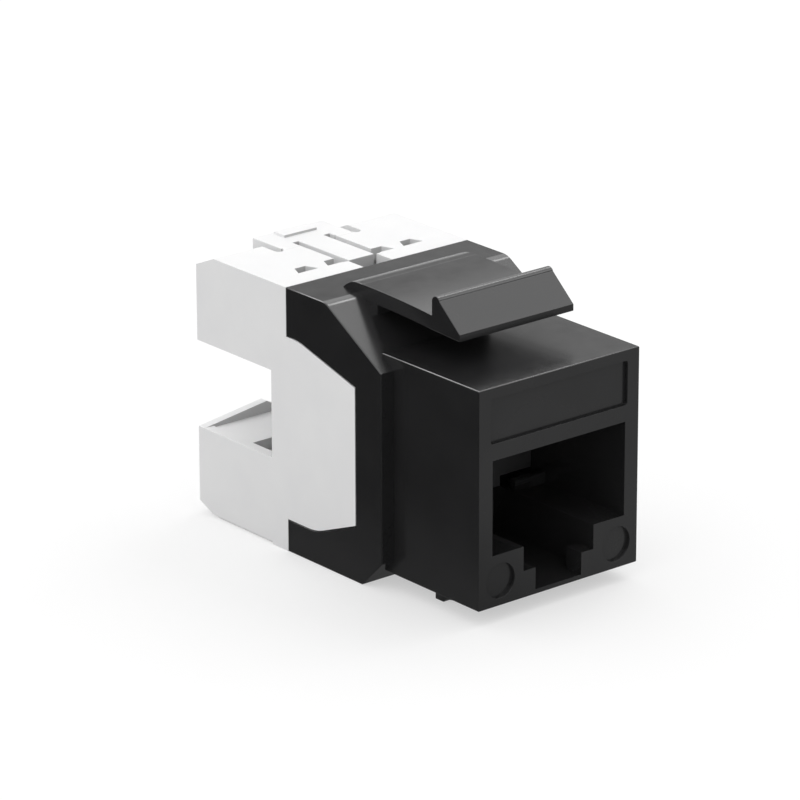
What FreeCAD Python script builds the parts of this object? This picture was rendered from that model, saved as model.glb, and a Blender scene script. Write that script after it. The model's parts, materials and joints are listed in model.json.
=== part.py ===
import FreeCAD, Part
import math
import os

# Keystone jack with a snap-on wire cap, in millimetres.
# X runs across the jack, Y from the mouth to the wire side, Z up.

# How far a cut runs past the face it opens, and a rib into the wall that carries it
past = 1.0
sunk = 0.2

# Nose, the part that fills the panel opening
nose_width = 14.5
nose_height = 16.0
nose_length = 9.08
nose_lift = 1.17
nose_roof = 1.27
edge_round = 0.1

# Mouth for the plug, with its stepped latch notch
mouth_width = 12.06
mouth_height = 6.92
mouth_drop = 5.28
step_width = 6.4
step_depth = 1.8
notch_width = 4.2
notch_depth = 1.63
lip_depth = 1.6
well_overrun = 1.5
ledge_back = 0.78
ledge_length = 0.5
ledge_height = 0.85

# Recesses on the front face
label_width = 12.4
label_height = 3.25
label_drop = 0.82
label_depth = 0.27
label_round = 0.2
dimple_radius = 1.3
dimple_depth = 0.27
dimple_spacing = 10.6
dimple_height = 1.85

# Shell behind the nose
shell_width = 16.66
shell_rise = 2.61
shell_length = 10.43
shell_wall = 1.2
bend_radius = 1.6
shoulder_run = 6.04
shoulder_fall = 3.6
chin_run = 2.19
chin_rise = 2.16
cavity_inset = 2.42

# Fixed catch under the nose
catch_width = 12.0
catch_back = 6.05
catch_land = 0.85
catch_lip = 0.28
catch_ramp = 4.6

# Flexing latch arm over the nose
arm_width = 10.3
arm_root = 17.1
crest_back = 0.8
crest_rise = 0.76
crest_round = 2.4
arm_hinge = 13.24
arm_thickness = 1.1
arm_droop = 0.37
hinge_gap = 0.12
ridge_back = 7.46
ridge_height = 1.45
ridge_slope_run = 2.97
ridge_slope = 40.5
lip_height = 0.5
bead_radius = 0.42
bead_proud = 0.06

# Side plates of the cap and the openings they fill
plate_reach = 7.57
plate_rear_height = 13.67
plate_front_height = 10.19
plate_top_taper = 6.29
plate_low_taper = 4.39
plate_drop = 0.6
plate_round = 4.5
plate_clearance = 0.06

# Wire cap
cap_length = 10.3
jaw_gap = 6.57
jaw_depth = 8.53
cap_roof = 0.95
bay_width = 14.6
bay_length = 3.51
bay_sill = 0.88
bay_undercut = 0.45
rim_width = 0.85
floor_fall = 0.12
rear_wall = 0.7
rear_rise = 0.77
saddle_width = 5.24
saddle_radius = 5.0
foot_rebate = 0.22
chamfer_run = 2.06
chamfer_fall = 0.89
wire_inner = 2.15
wire_outer = 4.8
window_length = 0.98
window_set = 0.09
window_front = 1.8
window_rear = 0.95

# Release lever in each roof of the cap
lever_pivot_back = 3.41
lever_width = 6.4
lever_slot = 0.7
tongue_width = 2.28
tongue_slot = 0.56
tab_length = 2.76
lever_gap = 0.15
tongue_end = 0.05
tongue_notch = 2.6
hook_length = 0.75
hook_drop = 0.8
tab_travel = 0.95
grip_width = 3.0
grip_length = 1.25
grip_rise = 0.2

# Circuit board and terminal block
board_back = 5.01
board_thickness = 1.2
board_clearance = 0.2
block_length = 4.4
row_offset = 5.9

# Forked terminals that bite the wires
fork_width = 1.9
fork_thickness = 0.4
fork_slot = 0.34
fork_slot_length = 4.4
fork_reach = 22.6
fork_pin = 0.6
fork_clearance = 0.05

# Contact springs and the comb that carries them
spring_count = 8
spring_pitch = 1.02
spring_width = 0.4
spring_thickness = 0.3
spring_bend = 1.1
spring_bend_front = 2.8
spring_slope = 24.0
spring_slope_length = 7.5
spring_clearance = 0.06
comb_clearance = 0.05
comb_reach = 3.5
comb_foot = 0.8
comb_recess = 1.5
comb_key_width = 6.2

# Levels and stations that follow from the sizes above
nose_top = nose_lift + nose_height
shell_top = nose_top + shell_rise
shell_end = nose_length + shell_length
cap_end = shell_end + cap_length
bend_y = nose_length + shoulder_run
fall_rate = shoulder_fall / shoulder_run
middle = shell_top / 2
mouth_top = nose_top - mouth_drop
mouth_bottom = mouth_top - mouth_height
inner_half = shell_width / 2 - shell_wall
jaw_front = cap_end - jaw_depth
lever_y = cap_end - lever_pivot_back
board_rear = shell_end - board_back
board_front = board_rear - board_thickness
wall_drop = shell_wall * math.hypot(1, fall_rate)

# Everything is drawn from the mouth and moved to the middle of its length
origin_shift = FreeCAD.Vector(0, -cap_end / 2, 0)


def point(y, z, x=0.0):
    return FreeCAD.Vector(x, y, z)


def block(width, y0, y1, z0, z1, x=0.0):
    corner = FreeCAD.Vector(x - width / 2, y0, z0)
    return Part.makeBox(width, y1 - y0, z1 - z0, corner)


def profile(width, outline, x=0.0):
    """A side outline of (y, z) corners, extruded across the jack about x."""
    corners = [point(y, z, x - width / 2) for y, z in outline]
    face = Part.Face(Part.makePolygon(corners + corners[:1]))
    return face.extrude(FreeCAD.Vector(width, 0, 0))


def end_profile(y0, y1, outline):
    """An end outline of (x, z) corners, extruded from y0 to y1 and mirrored."""
    corners = [point(y0, z, x) for x, z in outline]
    face = Part.Face(Part.makePolygon(corners + corners[:1]))
    return both_sides(face.extrude(FreeCAD.Vector(0, y1 - y0, 0)))


def round_edges(shape, radius, chosen):
    edges = [edge for edge in shape.Edges if chosen(edge)]
    return shape.makeFillet(radius, edges) if edges else shape


def both_sides(shape):
    return shape.fuse(shape.mirror(FreeCAD.Vector(), FreeCAD.Vector(1, 0, 0)))


def upside_down(shape):
    """The same piece in the lower half of the cap."""
    return shape.mirror(FreeCAD.Vector(0, 0, middle), FreeCAD.Vector(0, 0, 1))


def runs_along(edge, axis):
    if not isinstance(edge.Curve, (Part.Line, Part.LineSegment)):
        return False
    span = edge.Vertexes[-1].Point - edge.Vertexes[0].Point
    return abs(abs(span.dot(axis)) - edge.Length) < 1e-6


def lies_on_side(edge, half_width):
    return abs(abs(edge.CenterOfMass.x) - half_width) < 1e-6


def save(name, shape):
    solid = shape.removeSplitter()
    solid.translate(origin_shift)
    solid.exportStep(f"parts/{name}.step")


def slope_height(y):
    """Height of the shoulder in front of the bend."""
    return shell_top - max(0.0, bend_y - y) * fall_rate


def plate_outline(grow, back):
    """Outline shared by a side plate of the cap and its opening in the shell."""
    centre = middle - plate_drop
    front = shell_end - plate_reach - grow
    top_taper = front + grow + plate_top_taper
    low_taper = front + grow + plate_low_taper
    low, high = plate_front_height / 2 + grow, plate_rear_height / 2 + grow
    return [
        (front, centre - low),
        (front, centre + low),
        (top_taper, centre + high),
        (back, centre + high),
        (back, centre - high),
        (low_taper, centre - high),
    ]


def plate_solid(width, grow, back, x):
    """A side plate with the large rounds where its edges begin to taper."""
    outline = plate_outline(grow, back)
    tapers = (outline[2][0], outline[5][0])
    return round_edges(
        profile(width, outline, x),
        plate_round,
        lambda e: runs_along(e, across) and min(abs(e.CenterOfMass.y - t) for t in tapers) < 1e-3,
    )


across = FreeCAD.Vector(1, 0, 0)
along = FreeCAD.Vector(0, 1, 0)
os.makedirs("parts", exist_ok=True)

# Housing: nose, shell, latch root and fixed catch are one moulding
nose = block(nose_width, 0, nose_length + shell_wall, nose_lift, nose_top)
nose = round_edges(
    nose,
    edge_round,
    lambda e: runs_along(e, along) or (runs_along(e, across) and e.CenterOfMass.y < edge_round),
)
shell = profile(
    shell_width,
    [
        (nose_length, chin_rise),
        (nose_length, shell_top - shoulder_fall),
        (bend_y, shell_top),
        (shell_end, shell_top),
        (shell_end, 0),
        (nose_length + chin_run, 0),
    ],
)
shell = round_edges(
    shell,
    bend_radius,
    lambda e: runs_along(e, across) and abs(e.CenterOfMass.y - bend_y) < 1e-3,
)
shell = round_edges(
    shell,
    edge_round,
    lambda e: lies_on_side(e, shell_width / 2) and e.CenterOfMass.y < shell_end - edge_round,
)
crest_y = arm_root - crest_back
crest_z = shell_top + crest_rise
arm_top = crest_z - arm_droop * (crest_y - arm_hinge) / (crest_y - ridge_back)
arm_under = arm_top - arm_thickness
root_y = arm_hinge + hinge_gap / 2
root = profile(
    arm_width,
    [
        (arm_root, shell_top),
        (crest_y, crest_z),
        (root_y, arm_top),
        (root_y, slope_height(root_y) - shell_wall / 2),
        (arm_root, shell_top - shell_wall / 2),
    ],
)
root = round_edges(
    root,
    crest_round,
    lambda e: runs_along(e, across) and abs(e.CenterOfMass.y - crest_y) < 1e-3,
)
catch_front = catch_back - catch_land
catch = profile(
    catch_width,
    [
        (catch_front - catch_lip - catch_ramp, nose_lift),
        (catch_front - catch_lip, catch_lip),
        (catch_front, 0),
        (catch_back, 0),
        (catch_back, nose_lift + sunk),
        (catch_front - catch_lip - catch_ramp, nose_lift + sunk),
    ],
)
housing = nose.fuse([shell, root, catch])

cavity_front = nose_length + cavity_inset
cavity_top = shell_top - shell_wall
cavity_bend = bend_y + (wall_drop - shell_wall) / fall_rate
shell_cavity = profile(
    2 * inner_half,
    [
        (cavity_front, shell_wall),
        (cavity_front, slope_height(cavity_front) - wall_drop),
        (cavity_bend, cavity_top),
        (shell_end + shell_wall, cavity_top),
        (shell_end + shell_wall, shell_wall),
    ],
)
nose_cavity = block(mouth_width, lip_depth, cavity_front + past, mouth_bottom, nose_top - nose_roof)
mouth = block(mouth_width, -past, lip_depth + past, mouth_bottom, mouth_top)
step_floor = mouth_bottom - step_depth
notch_floor = step_floor - notch_depth
well_end = nose_length + well_overrun
step = block(step_width, -past, nose_length, step_floor, mouth_bottom + past)
notch = block(notch_width, -past, lip_depth + past, notch_floor, mouth_bottom + past)
latch_well = block(step_width, lip_depth, well_end, notch_floor, mouth_bottom + past)
ledge_front = nose_length - ledge_back
ledge_end = ledge_front + ledge_length
label_top = nose_top - label_drop
label = block(label_width, -past, label_depth, label_top - label_height, label_top)
label = round_edges(label, label_round, lambda e: runs_along(e, along))
housing = housing.cut(
    [shell_cavity, nose_cavity, mouth, step, notch, latch_well, label]
)

# A low ledge on each side of the latch well stops the plug's nose
ledge_width = (mouth_width - step_width) / 2 + sunk
ledge = block(
    ledge_width, ledge_front, ledge_end, mouth_bottom - sunk,
    mouth_bottom + ledge_height, (step_width + ledge_width) / 2,
)
housing = housing.fuse(both_sides(ledge))

dimple_at = FreeCAD.Vector(dimple_spacing / 2, -past, nose_lift + dimple_height)
dimple = Part.makeCylinder(dimple_radius, past + dimple_depth, dimple_at, along)
housing = housing.cut(both_sides(dimple))

opening = plate_solid(shell_wall * 2, plate_clearance, shell_end + past, shell_width / 2)
housing = housing.cut(both_sides(opening))
save("front_housing", housing)

# Latch arm: springs on its root, and its ridge snaps behind the panel edge
tip_y = arm_hinge - hinge_gap / 2
ridge_base = crest_z - arm_droop
ridge_top = ridge_base + ridge_height
bead_y, bead_z = ridge_back - bead_radius, ridge_top - bead_radius
lean = math.radians(ridge_slope)
foot_y = bead_y - (bead_radius - bead_proud) * math.sin(lean)
foot_z = bead_z + (bead_radius - bead_proud) * math.cos(lean)
nib_y = ridge_back - ridge_slope_run
nib_z = foot_z - (foot_y - nib_y) * math.tan(lean)
arm = profile(
    arm_width,
    [
        (tip_y, arm_top),
        (ridge_back, ridge_base),
        (ridge_back, bead_z),
        (foot_y, foot_z),
        (nib_y, nib_z),
        (nib_y, nib_z - lip_height),
        (tip_y, arm_under),
    ],
)
bead = Part.makeCylinder(bead_radius, arm_width, point(bead_y, bead_z, -arm_width / 2), across)
arm = arm.fuse(bead)
save("latch_arm", arm)

# Wire cap: two hollow jaws joined by a front wall, with a plate down each side
cap = profile(
    shell_width,
    [
        (shell_end, 0),
        (shell_end, shell_top),
        (cap_end - chamfer_run, shell_top),
        (cap_end, shell_top - chamfer_fall),
        (cap_end, chamfer_fall),
        (cap_end - chamfer_run, 0),
    ],
)
gap_low, gap_high = middle - jaw_gap / 2, middle + jaw_gap / 2
jaw_opening = block(shell_width + 2 * past, jaw_front, cap_end + past, gap_low, gap_high)
saddle_half = saddle_width / 2
bay_end = jaw_front + bay_length
bay_roof = shell_top - cap_roof
wire_bay = block(bay_width, jaw_front, bay_end, gap_high - past, bay_roof)
undercut = block(
    bay_width, bay_end - past, bay_end + bay_undercut, gap_high + bay_sill, bay_roof
)
sunk_floor = block(
    shell_width - 2 * rim_width, jaw_front, cap_end - rear_wall, gap_high - past, gap_high + floor_fall
)
rear_crest = end_profile(
    cap_end - rear_wall,
    cap_end,
    [
        (shell_width / 2, gap_high),
        (saddle_half, gap_high - rear_rise),
        (0, gap_high - rear_rise),
        (0, gap_high + floor_fall),
        (shell_width / 2, gap_high + floor_fall),
    ],
)
saddle_rise = math.sqrt(saddle_radius**2 - saddle_half**2)
saddle_at = point(jaw_front, gap_high - rear_rise - saddle_rise)
saddle = Part.makeCylinder(saddle_radius, jaw_depth + past, saddle_at, along)
rear_crest = rear_crest.cut(saddle)
rebate_end = cap_end - chamfer_run * (1 - foot_rebate / chamfer_fall)
rebate = block(foot_rebate * 2, jaw_front, rebate_end, -past, foot_rebate, shell_width / 2)
jaw_cuts = [wire_bay, undercut, sunk_floor]
cap = cap.cut([jaw_opening] + jaw_cuts + [upside_down(cut) for cut in jaw_cuts])
cap = cap.cut(both_sides(rebate))
cap = cap.fuse([rear_crest, upside_down(rear_crest)])

# The roof is flat over the lever, without the chamfer of the side blocks
lever_half = lever_width / 2
tab_y = cap_end - tab_length
pocket = block(
    lever_width + 2 * lever_slot, lever_y - lever_gap / 2, cap_end + past,
    shell_top - cap_roof - tab_travel, shell_top + past,
)
slot_round = lever_slot / 2
slot_end = Part.makeCylinder(
    slot_round, 2 * cap_roof,
    point(lever_y - lever_gap / 2, shell_top - cap_roof * 1.5, lever_half + slot_round),
)
tongue_gap = tongue_width + 2 * tongue_slot
channel = block(tongue_gap, jaw_front, tab_y, shell_top - cap_roof - past, shell_top + past)
front_notch = block(
    tongue_notch, shell_end - past, jaw_front + past, shell_top - cap_roof - tab_travel, shell_top + past
)
window_start = jaw_front + window_set
window_end = window_start + window_length
windows = []
for wire_x in (-wire_outer, -wire_inner, wire_inner, wire_outer):
    low_z = shell_top - cap_roof - past
    corners = [
        point(window_start, low_z, wire_x - window_front / 2),
        point(window_start, low_z, wire_x + window_front / 2),
        point(window_end, low_z, wire_x + window_rear / 2),
        point(window_end, low_z, wire_x - window_rear / 2),
    ]
    face = Part.Face(Part.makePolygon(corners + corners[:1]))
    windows.append(face.extrude(FreeCAD.Vector(0, 0, cap_roof + 2 * past)))
fork_slits = []
for wire_x in (-wire_outer, -wire_inner, wire_inner, wire_outer):
    half = fork_thickness / 2 + fork_clearance
    fork_slits.append(
        block(
            fork_width + 2 * fork_clearance, shell_end - past, jaw_front + past,
            middle + row_offset - half, middle + row_offset + half, wire_x,
        )
    )
roof_cuts = [pocket, both_sides(slot_end), channel, front_notch, *windows, *fork_slits]
cap = cap.cut(roof_cuts + [upside_down(cut) for cut in roof_cuts])
plate = plate_solid(shell_wall, 0, shell_end + rim_width, shell_width / 2 - shell_wall / 2)
cap = cap.fuse(both_sides(plate))
save("wire_cap", cap)

# Release levers: pressing the tab lifts the tongue, on a thin flexing web
pivot_end = lever_y + lever_gap / 2
lever_low = shell_top - cap_roof
lever = block(lever_width, pivot_end, cap_end, lever_low, shell_top)
for side in (-1, 1):
    x = side * (tongue_width + tongue_slot) / 2
    lever = lever.cut(block(tongue_slot, pivot_end - past, tab_y, 0, shell_top + past, x))
tongue_front = jaw_front + tongue_end
tongue = block(tongue_width, tongue_front, tab_y, lever_low, shell_top)
hook_front = tongue_front + lever_gap
hook = block(
    tongue_width, hook_front, hook_front + hook_length, lever_low - hook_drop, lever_low
)
grip_end = cap_end - grip_rise * 1.5
grip = block(grip_width, grip_end - grip_length, grip_end, shell_top, shell_top + grip_rise)
plain_lever = lever.fuse([tongue, hook])
save("release_lever_top", plain_lever.fuse(grip))
save("release_lever_bottom", upside_down(plain_lever))

# Circuit board across the shell, with holes for every pin
board_low = shell_wall + board_clearance
board_high = slope_height(board_front) - wall_drop - board_clearance
board_width = 2 * (inner_half - board_clearance)
board = block(board_width, board_front, board_rear, board_low, board_high)
pin_z = mouth_top + spring_bend * 2 + spring_thickness * 2
spring_xs = [(i - (spring_count - 1) / 2) * spring_pitch for i in range(spring_count)]
hole = spring_clearance * 2
for x in spring_xs:
    board = board.cut(
        block(
            spring_width + hole, board_front - past, board_rear + past,
            pin_z - (spring_thickness + hole) / 2, pin_z + (spring_thickness + hole) / 2, x,
        )
    )

# Forked terminals: a pin through the board and two tines that take the wire between them
fork_rows = (middle + row_offset, middle - row_offset)
fork_spots = [
    (x, z) for z in fork_rows for x in (-wire_outer, -wire_inner, wire_inner, wire_outer)
]
fork_half = fork_width / 2
slot_start = fork_reach - fork_slot_length
terminal_block = block(board_width, board_rear, board_rear + block_length, board_low, board_high)
pin_hole = fork_clearance * 2
for number, (x, z) in enumerate(fork_spots, 1):
    body = block(
        fork_width, board_rear, fork_reach, z - fork_thickness / 2, z + fork_thickness / 2, x
    )
    pin = block(
        fork_pin, board_front + fork_clearance, board_rear, z - fork_thickness / 2,
        z + fork_thickness / 2, x,
    )
    bite = [
        point(slot_start, z - past, x - fork_slot / 2),
        point(slot_start, z - past, x + fork_slot / 2),
        point(fork_reach - fork_slot, z - past, x + fork_slot / 2),
        point(fork_reach, z - past, x + fork_half - fork_thickness / 2),
        point(fork_reach, z - past, x - fork_half + fork_thickness / 2),
        point(fork_reach - fork_slot, z - past, x - fork_slot / 2),
    ]
    bite_face = Part.Face(Part.makePolygon(bite + bite[:1]))
    fork = body.fuse(pin).cut(bite_face.extrude(FreeCAD.Vector(0, 0, 2 * past)))
    save(f"wire_terminal_{number}", fork)
    hole_low = z - (fork_thickness + pin_hole) / 2
    hole_high = z + (fork_thickness + pin_hole) / 2
    board = board.cut(
        block(fork_pin + pin_hole, board_front - past, board_rear + past, hole_low, hole_high, x)
    )
    terminal_block = terminal_block.cut(
        block(
            fork_width + pin_hole, board_rear - past, board_rear + block_length + past,
            hole_low, hole_high, x,
        )
    )
save("circuit_board", board)
save("terminal_block", terminal_block)

# Contact springs: a run along the comb, a bend round its front and a sloping free end
bend_centre = point(spring_bend_front + spring_bend, pin_z - spring_bend)
slope = math.radians(spring_slope)
half_wire = spring_thickness / 2


def spring_outline(inner, outer, tail):
    """Closed side outline between two offsets of the spring's centre line."""
    leave = math.pi * 1.5 - slope
    middle_turn = (math.pi / 2 + leave) / 2

    def on_bend(radius, angle):
        return bend_centre + point(radius * math.cos(angle), radius * math.sin(angle))

    run = point(spring_slope_length * math.cos(slope), -spring_slope_length * math.sin(slope))
    outer_end, inner_end = on_bend(outer, leave) + run, on_bend(inner, leave) + run
    top_y = board_rear - tail
    edges = [
        Part.LineSegment(point(top_y, bend_centre.z + outer), on_bend(outer, math.pi / 2)),
        Part.Arc(on_bend(outer, math.pi / 2), on_bend(outer, middle_turn), on_bend(outer, leave)),
        Part.LineSegment(on_bend(outer, leave), outer_end),
        Part.LineSegment(outer_end, inner_end),
        Part.LineSegment(inner_end, on_bend(inner, leave)),
        Part.Arc(on_bend(inner, leave), on_bend(inner, middle_turn), on_bend(inner, math.pi / 2)),
        Part.LineSegment(on_bend(inner, math.pi / 2), point(top_y, bend_centre.z + inner)),
        Part.LineSegment(point(top_y, bend_centre.z + inner), point(top_y, bend_centre.z + outer)),
    ]
    return Part.Face(Part.Wire([edge.toShape() for edge in edges]))


spring = spring_outline(spring_bend - half_wire, spring_bend + half_wire, half_wire)
for number, x in enumerate(spring_xs, 1):
    strip = spring.extrude(FreeCAD.Vector(spring_width, 0, 0))
    strip.translate(FreeCAD.Vector(x - spring_width / 2, 0, 0))
    save(f"contact_spring_{number}", strip)

# Comb: rounded front edge that the springs wrap, grooves above and slots at the back
comb_width = mouth_width - 2 * comb_clearance
comb_top = nose_top - nose_roof - comb_clearance
comb_nose = spring_bend - half_wire - spring_clearance
comb_low = bend_centre.z - comb_nose
comb = block(comb_width, bend_centre.y, board_front, comb_low, comb_top)
comb = comb.fuse(
    Part.makeCylinder(comb_nose, comb_width, bend_centre - across * (comb_width / 2), across)
)
rear_front = board_front - comb_reach
rear_low = mouth_bottom + comb_foot
comb_rear = block(comb_width, rear_front, board_front, rear_low, comb_low + past)
key_low = mouth_bottom + comb_clearance
comb_key = block(comb_key_width, rear_front, board_front, key_low, rear_low + past)
comb_back = block(comb_width, rear_front + comb_recess, board_front, key_low, rear_low + past)
comb = comb.fuse([comb_rear, comb_key, comb_back])
groove_low = pin_z - half_wire - spring_clearance
free_end = bend_centre.y + spring_slope_length * math.cos(slope)
tip_low = bend_centre.z - spring_bend - spring_slope_length * math.sin(slope) - 2 * spring_thickness
for x in spring_xs:
    groove_width = spring_width + 2 * spring_clearance
    comb = comb.cut(
        [
            block(groove_width, bend_centre.y - 2 * past, board_front + past, groove_low, comb_top + past, x),
            block(groove_width, rear_front - past, free_end + comb_foot, tip_low, comb_low, x),
        ]
    )
save("contact_comb", comb)
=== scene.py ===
import bmesh
import bpy
import json
import math
from mathutils import Matrix, Vector


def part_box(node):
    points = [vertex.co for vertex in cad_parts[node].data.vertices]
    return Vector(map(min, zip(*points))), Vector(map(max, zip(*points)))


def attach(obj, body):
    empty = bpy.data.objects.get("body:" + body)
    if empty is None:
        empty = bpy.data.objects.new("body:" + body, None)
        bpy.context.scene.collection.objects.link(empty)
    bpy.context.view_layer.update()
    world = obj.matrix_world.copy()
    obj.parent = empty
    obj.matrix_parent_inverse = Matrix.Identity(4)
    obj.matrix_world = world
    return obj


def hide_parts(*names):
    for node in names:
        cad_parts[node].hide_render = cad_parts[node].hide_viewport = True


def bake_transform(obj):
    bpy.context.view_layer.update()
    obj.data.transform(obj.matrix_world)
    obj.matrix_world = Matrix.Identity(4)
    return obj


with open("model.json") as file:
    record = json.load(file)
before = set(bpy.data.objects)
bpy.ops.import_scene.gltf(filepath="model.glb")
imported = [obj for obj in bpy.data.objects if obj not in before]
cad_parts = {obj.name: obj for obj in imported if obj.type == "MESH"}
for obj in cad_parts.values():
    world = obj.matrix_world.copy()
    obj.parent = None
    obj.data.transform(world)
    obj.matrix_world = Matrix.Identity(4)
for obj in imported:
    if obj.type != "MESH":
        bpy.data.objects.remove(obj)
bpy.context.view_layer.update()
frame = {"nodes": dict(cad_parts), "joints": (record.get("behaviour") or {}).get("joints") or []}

# Table, backdrop, lamps and camera
# The jack stands on a seamless pale table in a white room, under one large
# soft lamp overhead to the right and with a dimmer card on its left.


class Wire:
    """An output socket in a node tree. Sums, differences and products of
    wires and numbers add the Math nodes they need."""

    def __init__(self, tree, socket=None):
        self.tree, self.socket = tree, socket

    def node(self, kind, inputs=None, out=0, **settings):
        """Adds a node, with its settings first and then its sockets."""
        made = self.tree.nodes.new(kind)
        for name, value in settings.items():
            setattr(made, name, value)
        for name, value in (inputs or {}).items():
            if isinstance(value, Wire):
                self.tree.links.new(value.socket, made.inputs[name])
            else:
                made.inputs[name].default_value = value
        return Wire(self.tree, made.outputs[out])

    def also(self, out):
        """Another output of the node that this wire comes from."""
        return Wire(self.tree, self.socket.node.outputs[out])

    def maths(self, operation, a, b):
        return self.node("ShaderNodeMath", {0: a, 1: b}, operation=operation)

    def __add__(self, other):
        return self.maths("ADD", self, other)

    def __radd__(self, other):
        return self.maths("ADD", other, self)

    def __sub__(self, other):
        return self.maths("SUBTRACT", self, other)

    def __rsub__(self, other):
        return self.maths("SUBTRACT", other, self)

    def __mul__(self, other):
        return self.maths("MULTIPLY", self, other)

    def __rmul__(self, other):
        return self.maths("MULTIPLY", other, self)

    def clamp(self, low, high):
        """0 below low, 1 above high, and even between them."""
        return self.node(
            "ShaderNodeMapRange", {"Value": self, "From Min": low, "From Max": high}
        )

    def mix_colours(self, a, b):
        """Colour a where this wire is 0, colour b where it is 1."""
        share, first, second, result = 0, 6, 7, 2
        sides = [c if isinstance(c, Wire) else (*c, 1.0) for c in (a, b)]
        return self.node(
            "ShaderNodeMix",
            {share: self, first: sides[0], second: sides[1]},
            out=result,
            data_type="RGBA",
        )


def start_finish(name):
    """A new material, its tree as a Wire, and its Principled shader."""
    finish = bpy.data.materials.new(name)
    finish.use_nodes = True
    shader = finish.node_tree.nodes["Principled BSDF"]
    return finish, Wire(finish.node_tree), shader


def feed(tree, shader, **values):
    """Sets or links the shader's sockets; Base_Color stands for Base Color."""
    for name, value in values.items():
        socket = shader.inputs[name.replace("_", " ")]
        if isinstance(value, Wire):
            tree.tree.links.new(value.socket, socket)
        elif isinstance(value, tuple) and len(value) == 3:
            socket.default_value = (*value, 1.0)
        else:
            socket.default_value = value


MM = 0.001
white = (1.0, 1.0, 1.0)
sweep_half = 1.5
sweep_pale, sweep_roughness = (0.70, 0.70, 0.70), 0.9
sweep_lift = 0.5

# Painted reflection: what mirrors the table finds it dark on the left and pale on the right, a
# colour it has only in mirrors
painted_reflection_dark, painted_reflection_pale = (0.012, 0.012, 0.012), (0.42, 0.42, 0.42)
dark_until, pale_from = -20 * MM, 8 * MM
painted_reflection_glow = 0.6

sweep_mesh = bpy.data.meshes.new("sweep")
corners = [(x * sweep_half, y * sweep_half, 0.0) for x, y in ((-1, -1), (1, -1), (1, 1), (-1, 1))]
sweep_mesh.from_pydata(corners, [], [(0, 1, 2, 3)])
sweep = bpy.data.objects.new("sweep", sweep_mesh)
bpy.context.collection.objects.link(sweep)
sweep_finish, tree, shader = start_finish("pale_sweep")
seen = tree.node("ShaderNodeLightPath", out="Is Camera Ray")
mirrored = seen.also("Is Glossy Ray")
looked_at = seen + seen.also("Is Transmission Ray")
place = tree.node("ShaderNodeTexCoord", out="Object")
across = tree.node("ShaderNodeSeparateXYZ", {"Vector": place}, out="X")
painted_reflection_shade = across.clamp(dark_until, pale_from).mix_colours(painted_reflection_dark, painted_reflection_pale)
sweep_colour = mirrored.mix_colours(sweep_pale, painted_reflection_shade)
sweep_colour = looked_at.mix_colours(sweep_colour, white)
feed(tree, shader, Base_Color=sweep_colour, Roughness=sweep_roughness, Specular_IOR_Level=0.0)
# Camera rays see the table glow white; mirror rays see it glow with its painted reflection colour
white_or_painted_reflection = mirrored.mix_colours(white, painted_reflection_shade)
sweep_glow = tree.node("ShaderNodeEmission", {"Color": white_or_painted_reflection, "Strength": 1.0})
lifted_share = looked_at * sweep_lift + mirrored * painted_reflection_glow
plain = Wire(tree.tree, shader.outputs["BSDF"])
lifted = tree.node("ShaderNodeMixShader", {0: lifted_share, 1: plain, 2: sweep_glow})
sweep_output = tree.tree.nodes["Material Output"]
tree.tree.links.new(lifted.socket, sweep_output.inputs["Surface"])
sweep_mesh.materials.append(sweep_finish)

room = bpy.data.worlds.new("room")
bpy.context.scene.world = room
room.use_nodes = True
tree = Wire(room.node_tree)
seen = tree.node("ShaderNodeLightPath", out="Is Camera Ray")
mirrored = seen.also("Is Glossy Ray")
looking = tree.node("ShaderNodeTexCoord", out="Generated")
upward = tree.node("ShaderNodeSeparateXYZ", {"Vector": looking}, out="Z")
rightward = upward.also("X")
frontward = 0.0 - upward.also("Y")

wall_glow, ceiling_rise = 0.84, 0.12
room_glow = wall_glow + upward.clamp(0.25, 0.75) * ceiling_rise

# What mirrors the room finds bands that rise or fall towards one side, and
# soft round patches of that many degrees from their middle
room_gloss = 0.88
for side, low, high, rise in (
    (rightward, 0.585, 0.612, 0.17),
    (frontward, 0.0, 0.25, -0.40),
    (upward, 0.17, 0.27, -0.50),
    (upward, 0.32, 0.34, -0.30),
    (upward, 0.37, 0.43, 1.60),
    (upward, 0.46, 0.64, 0.80),
):
    room_gloss = room_gloss + side.clamp(low, high) * rise
for aim, spread, strength in (
    ((0.60, 0.24, 0.765), 4.0, 9.0),
    ((0.60, -0.46, 0.655), 8.0, 2.0),
    ((-0.17, 0.725, 0.66), 18.0, 6.0),
):
    toward = Vector(aim).normalized()
    facing = tree.node(
        "ShaderNodeVectorMath", {0: looking, 1: tuple(toward)}, out="Value", operation="DOT_PRODUCT"
    )
    edge_cosine = math.cos(math.radians(spread))
    room_gloss = room_gloss + facing.clamp(edge_cosine, (1 + edge_cosine) / 2) * strength
room_colour = mirrored.mix_colours(room_glow, room_gloss)
room_colour = seen.mix_colours(room_colour, white)
glow = room.node_tree.nodes["Background"]
room.node_tree.links.new(room_colour.socket, glow.inputs["Color"])

lamp_aim = Vector((0.0, 0.0, 10 * MM))
for name, direction, distance, size, power in (
    ("key_softbox", (0.6, 0.04, 0.8), 0.6, 0.36, 0.66),
    ("side_card", (-0.9, 0.2, 0.3), 0.8, 0.40, 0.26),
):
    lamp = bpy.data.lights.new(name, "AREA")
    lamp.shape, lamp.size, lamp.energy = "SQUARE", size, power
    lamp_object = bpy.data.objects.new(name, lamp)
    toward = Vector(direction).normalized()
    lamp_object.location = lamp_aim + toward * distance
    lamp_object.rotation_mode = "QUATERNION"
    lamp_object.rotation_quaternion = toward.to_track_quat("Z", "Y")
    lamp_object.visible_glossy = False
    bpy.context.collection.objects.link(lamp_object)

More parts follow.
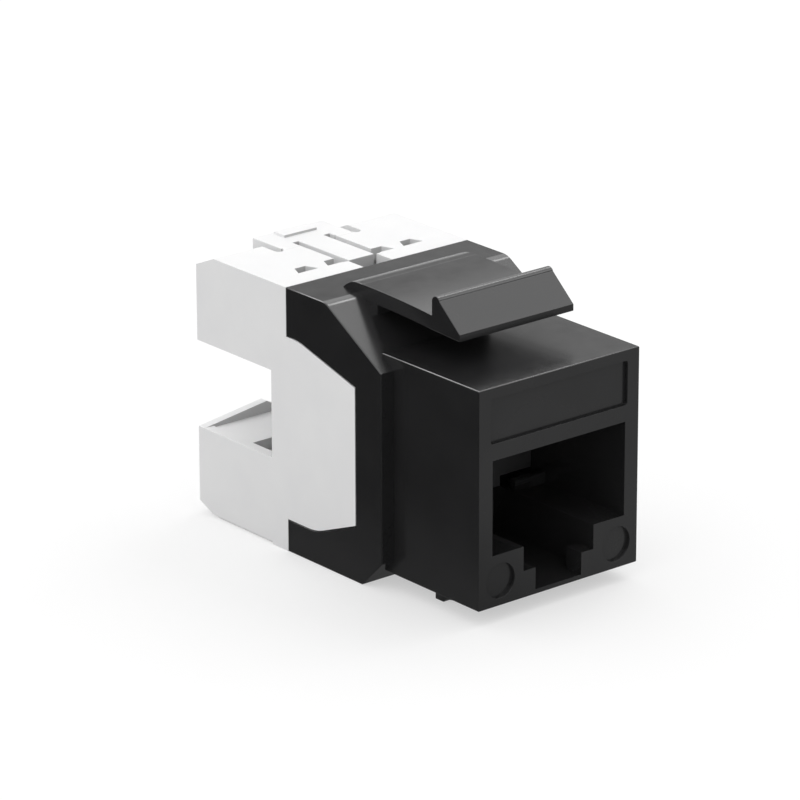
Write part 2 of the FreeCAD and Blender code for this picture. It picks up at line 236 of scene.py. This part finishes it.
camera_place = Vector((-0.208432, -0.249552, 0.128486))
camera_azimuth, camera_elevation = math.radians(-39.6221), math.radians(19.9024)
camera_roll = math.radians(0.143)
camera_data = bpy.data.cameras.new("camera")
camera_data.sensor_width, camera_data.lens = 36.0, 220.374
camera_data.clip_start, camera_data.clip_end = 0.01, 10.0
camera = bpy.data.objects.new("camera", camera_data)
camera.matrix_world = (
    Matrix.Translation(camera_place)
    @ Matrix.Rotation(camera_azimuth, 4, "Z")
    @ Matrix.Rotation(math.pi / 2 - camera_elevation, 4, "X")
    @ Matrix.Rotation(-camera_roll, 4, "Z")
)
bpy.context.collection.objects.link(camera)
bpy.context.scene.camera = camera
bpy.context.scene.view_settings.view_transform = "Standard"


# Front housing
# One injection moulding in glossy black polycarbonate: the nose with the plug
# mouth, the wider shell, the latch's root and the fixed catch below. The edges
# of the nose are crisper than those of the shell.
black_colour, black_worn = (0.016, 0.016, 0.0165), (0.019, 0.019, 0.0195)
black_roughness = 0.14
shell_edge, crisp_share = 0.05 * MM, 0.2
lip_to_shell = 4.4 * MM
corner_turn, inner_turn = math.radians(32), math.radians(20)
flat_turn, weld_gap = math.radians(0.6), 0.0005 * MM


def black_moulding():
    """Glossy plastic, a little uneven in colour, shine and surface."""
    finish, tree, shader = start_finish("black_moulding")
    place = tree.node("ShaderNodeTexCoord", out="Object")
    clouds = tree.node(
        "ShaderNodeTexNoise", {"Vector": place, "Scale": 260.0, "Detail": 3.0}
    )
    flow = tree.node(
        "ShaderNodeTexNoise", {"Vector": place, "Scale": 900.0, "Detail": 4.0, "Roughness": 0.6}
    )
    grain = tree.node(
        "ShaderNodeTexNoise", {"Vector": place, "Scale": 9000.0, "Detail": 2.0}
    )
    bump = tree.node(
        "ShaderNodeBump",
        {"Height": flow * 0.6 + grain * 0.4, "Strength": 0.06, "Distance": 0.02 * MM},
    )
    feed(
        tree,
        shader,
        Base_Color=clouds.clamp(0.35, 0.7).mix_colours(black_colour, black_worn),
        Roughness=black_roughness + flow * 0.10,
        Normal=bump,
        IOR=1.5,
    )
    return finish


def soften(piece, edge):
    """The small radius that moulded edges have, with flat faces left flat."""
    bevel = piece.modifiers.new("edges", "BEVEL")
    bevel.width, bevel.segments = edge, 2
    bevel.limit_method, bevel.angle_limit = "ANGLE", corner_turn
    bevel.use_clamp_overlap = True
    flat = piece.modifiers.new("flat_faces", "WEIGHTED_NORMAL")
    flat.keep_sharp = True


def dress(node, finish, edge):
    """Gives a CAD node its finish and, where it has one, its edge radius."""
    piece = frame["nodes"][node]
    piece.data.materials.clear()
    piece.data.materials.append(finish)
    weld = piece.modifiers.new("joined", "WELD")
    weld.merge_threshold = weld_gap
    flats = piece.modifiers.new("flats", "DECIMATE")
    flats.decimate_type, flats.angle_limit = "DISSOLVE", flat_turn
    if edge:
        soften(piece, edge)


def whole_shape(node):
    """A node's solid as one welded mesh with its flat faces whole."""
    shape = bmesh.new()
    shape.from_mesh(frame["nodes"][node].data)
    shape.transform(frame["nodes"][node].matrix_world)
    bmesh.ops.remove_doubles(shape, verts=shape.verts, dist=weld_gap)
    bmesh.ops.dissolve_limit(
        shape, angle_limit=flat_turn, verts=shape.verts, edges=shape.edges
    )
    return shape


def finished(shape, name, finish, edge):
    """An object of that shape and finish: outer corners rounded, inner ones sharp."""
    for face in shape.faces:
        face.smooth = True
    for corner in shape.edges:
        inner = len(corner.link_faces) == 2 and corner.calc_face_angle_signed() < 0.0
        corner.smooth = not (inner and corner.calc_face_angle() > inner_turn)
    mesh = bpy.data.meshes.new(name)
    shape.to_mesh(mesh)
    shape.free()
    mesh.materials.append(finish)
    piece = bpy.data.objects.new(name, mesh)
    bpy.context.collection.objects.link(piece)
    soften(piece, edge)
    return piece


black = black_moulding()
lip_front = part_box("latch_arm")[0][1]
nose_end = lip_front + lip_to_shell
shape = whole_shape("front_housing")
roundness = shape.edges.layers.float.new("bevel_weight_edge")
for edge in shape.edges:
    if len(edge.link_faces) == 2 and edge.calc_face_angle_signed() > corner_turn:
        middle_y = (edge.verts[0].co.y + edge.verts[1].co.y) / 2
        edge[roundness] = 1.0 if middle_y > nose_end else crisp_share
housing = finished(shape, "housing_moulding", black, shell_edge)
housing.modifiers["edges"].limit_method = "WEIGHT"
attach(housing, "housing")
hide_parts("front_housing")


# Latch arm
# Moulded in one with the housing and flexing at its root, so the piece runs
# from the root's crest to the lip, with close loops of edges where the arm springs.
# It bows up a little between the ridge and the crest.
arm_low, arm_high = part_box("latch_arm")
arm_rear = arm_high[1]
rear_slack = 0.01 * MM
root_reach, root_slope = 1.8 * MM, 0.0415
blade_proud, blade_edge = 0.012 * MM, 0.04 * MM
flex_start, flex_end, flex_loops = 0.46 * MM, -0.54 * MM, 8
ridge_run = 2.97 * MM
bow_height, bow_loops = 0.08 * MM, 12
loop_gap = 0.13 * MM
side_facing = 0.99


def cut_across(shape, y):
    """A loop of edges round the shape at that y."""
    bmesh.ops.bisect_plane(
        shape,
        geom=shape.verts[:] + shape.edges[:] + shape.faces[:],
        plane_co=(0.0, y, 0.0),
        plane_no=(0.0, 1.0, 0.0),
    )


shape = whole_shape("latch_arm")
for vertex in shape.verts:
    vertex.co.x *= 1 + blade_proud / arm_high[0]
    vertex.co.z += blade_proud
    if vertex.co.y > arm_rear - rear_slack:
        vertex.co += Vector((0.0, root_reach, root_slope * root_reach))
bow_front, bow_end = arm_low[1] + ridge_run, arm_rear + root_reach
bow_length, flex_length = bow_end - bow_front, flex_end - flex_start
cuts = [arm_rear + flex_start + flex_length * n / flex_loops for n in range(flex_loops + 1)]
spread = [bow_front + bow_length * n / bow_loops for n in range(1, bow_loops)]
spread.append(bow_end - loop_gap)
cuts += [y for y in spread if not cuts[-1] - loop_gap < y < cuts[0] + loop_gap]
for cut_y in cuts:
    cut_across(shape, cut_y)
for vertex in shape.verts:
    along_bow = 2 * (vertex.co.y - bow_front) / bow_length - 1
    vertex.co.z += bow_height * max(0.0, 1 - along_bow**2)
blade = finished(shape, "latch_blade", black, blade_edge)
for face in blade.data.polygons:
    face.use_smooth = abs(face.normal.x) < side_facing
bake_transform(blade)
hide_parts("latch_arm")


# Contact comb and springs
# A dark moulded block keeps eight gold-plated strips apart. They wrap its
# rounded front and slope down into the mouth.
comb_colour, comb_shade, comb_roughness = (0.05, 0.05, 0.052), (0.035, 0.035, 0.036), 0.35
comb_edge, spring_edge, spring_count = 0.03 * MM, 0.03 * MM, 8
gold_bright, gold_deep = (0.92, 0.66, 0.27), (0.78, 0.50, 0.17)


def satin_moulding(name, colour, shade, roughness, painted_front_shade=0.0):
    """Satin plastic with faint clouds, and painted shade that darkens the colour of faces turned to
    the front by the share given.
    """
    finish, tree, shader = start_finish(name)
    place = tree.node("ShaderNodeTexCoord", out="Object")
    clouds = tree.node(
        "ShaderNodeTexNoise", {"Vector": place, "Scale": 300.0, "Detail": 3.0}
    )
    grain = tree.node(
        "ShaderNodeTexNoise", {"Vector": place, "Scale": 12000.0, "Detail": 2.0}
    )
    bump = tree.node(
        "ShaderNodeBump", {"Height": grain, "Strength": 0.12, "Distance": 0.01 * MM}
    )
    facing = tree.node("ShaderNodeTexCoord", out="Normal")
    forward = 0.0 - tree.node("ShaderNodeSeparateXYZ", {"Vector": facing}, out="Y")
    body = clouds.clamp(0.3, 0.75).mix_colours(colour, shade)
    # Painted shade: faces turned to the front are darkened towards black
    feed(
        tree,
        shader,
        Base_Color=(forward.clamp(0.3, 0.9) * painted_front_shade).mix_colours(body, (0.0, 0.0, 0.0)),
        Roughness=roughness + grain * 0.12,
        Normal=bump,
    )
    return finish


comb_finish = satin_moulding("comb_moulding", comb_colour, comb_shade, comb_roughness)
dress("contact_comb", comb_finish, comb_edge)

gold, tree, shader = start_finish("gold_plate")
place = tree.node("ShaderNodeTexCoord", out="Object")
drawn = tree.node("ShaderNodeMapping", {"Vector": place, "Scale": (6.0, 1.0, 1.0)})
streaks = tree.node("ShaderNodeTexNoise", {"Vector": drawn, "Scale": 1500.0, "Detail": 4.0})
feed(
    tree,
    shader,
    Base_Color=streaks.mix_colours(gold_bright, gold_deep),
    Metallic=1.0,
    Roughness=0.18 + streaks * 0.15,
)
for number in range(1, spring_count + 1):
    dress(f"contact_spring_{number}", gold, spring_edge)


# Circuit board, terminal block and wire terminals
# A green laminate board stands across the shell. A pale moulded block on its
# back holds eight tin-plated forks that bite the wires.
board_green, board_shade, board_roughness = (0.02, 0.16, 0.06), (0.015, 0.11, 0.04), 0.3
block_colour, block_shade, block_roughness = (0.72, 0.71, 0.68), (0.66, 0.65, 0.62), 0.4
block_edge, fork_edge, fork_count = 0.05 * MM, 0.02 * MM, 8
tin_bright, tin_dull = (0.74, 0.74, 0.72), (0.60, 0.60, 0.59)

board_finish = satin_moulding("board_mask", board_green, board_shade, board_roughness)
dress("circuit_board", board_finish, 0)
block_finish = satin_moulding("block_moulding", block_colour, block_shade, block_roughness)
dress("terminal_block", block_finish, block_edge)

tin, tree, shader = start_finish("tin_plate")
place = tree.node("ShaderNodeTexCoord", out="Object")
patches = tree.node("ShaderNodeTexNoise", {"Vector": place, "Scale": 2500.0, "Detail": 4.0})
feed(
    tree,
    shader,
    Base_Color=patches.mix_colours(tin_bright, tin_dull),
    Metallic=1.0,
    Roughness=0.25 + patches * 0.2,
)
for number in range(1, fork_count + 1):
    dress(f"wire_terminal_{number}", tin, fork_edge)


# Wire cap
# The white rear moulding in satin nylon: two jaws with the cable's gap between
# them, and a plate down each side that fills the opening in the shell.
white_colour, white_shade, white_roughness = (0.86, 0.86, 0.86), (0.83, 0.83, 0.835), 0.38
cap_edge = 0.08 * MM

# The white finish carries painted shade on faces turned to the front, standing in for the shade
# inside the jaws
white_finish = satin_moulding(
    "white_moulding", white_colour, white_shade, white_roughness, painted_front_shade=0.45
)
dress("wire_cap", white_finish, cap_edge)


# Release levers
# One in each jaw, moulded with the cap on two short webs. Pressing the tab
# lifts the tongue off the shell's catch, and the webs twist.
lever_edge, web_edge = 0.05 * MM, 0.01 * MM
web_inner, web_outer = 1.75 * MM, 3.1 * MM
web_half_length, web_half_height = 0.3 * MM, 0.482 * MM
web_loops = 6

for lever, body in (
    ("release_lever_top", "upper_lever"),
    ("release_lever_bottom", "lower_lever"),
):
    dress(lever, white_finish, lever_edge)
    joint = next(j for j in frame["joints"] if j["child"] == body)
    hinge = Vector(joint["pos_m"])
    shape = bmesh.new()
    for hand in (-1, 1):
        web = bmesh.ops.create_cube(shape, size=2.0)["verts"]
        centre = Vector((hand * (web_inner + web_outer) / 2, hinge.y, hinge.z))
        half = Vector(((web_outer - web_inner) / 2, web_half_length, web_half_height))
        for vertex in web:
            vertex.co = centre + vertex.co * half
    for loop in range(1, web_loops):
        cut_across(shape, hinge.y + web_half_length * (2 * loop / web_loops - 1))
    webs = finished(shape, lever + "_webs", white_finish, web_edge)
    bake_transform(webs)
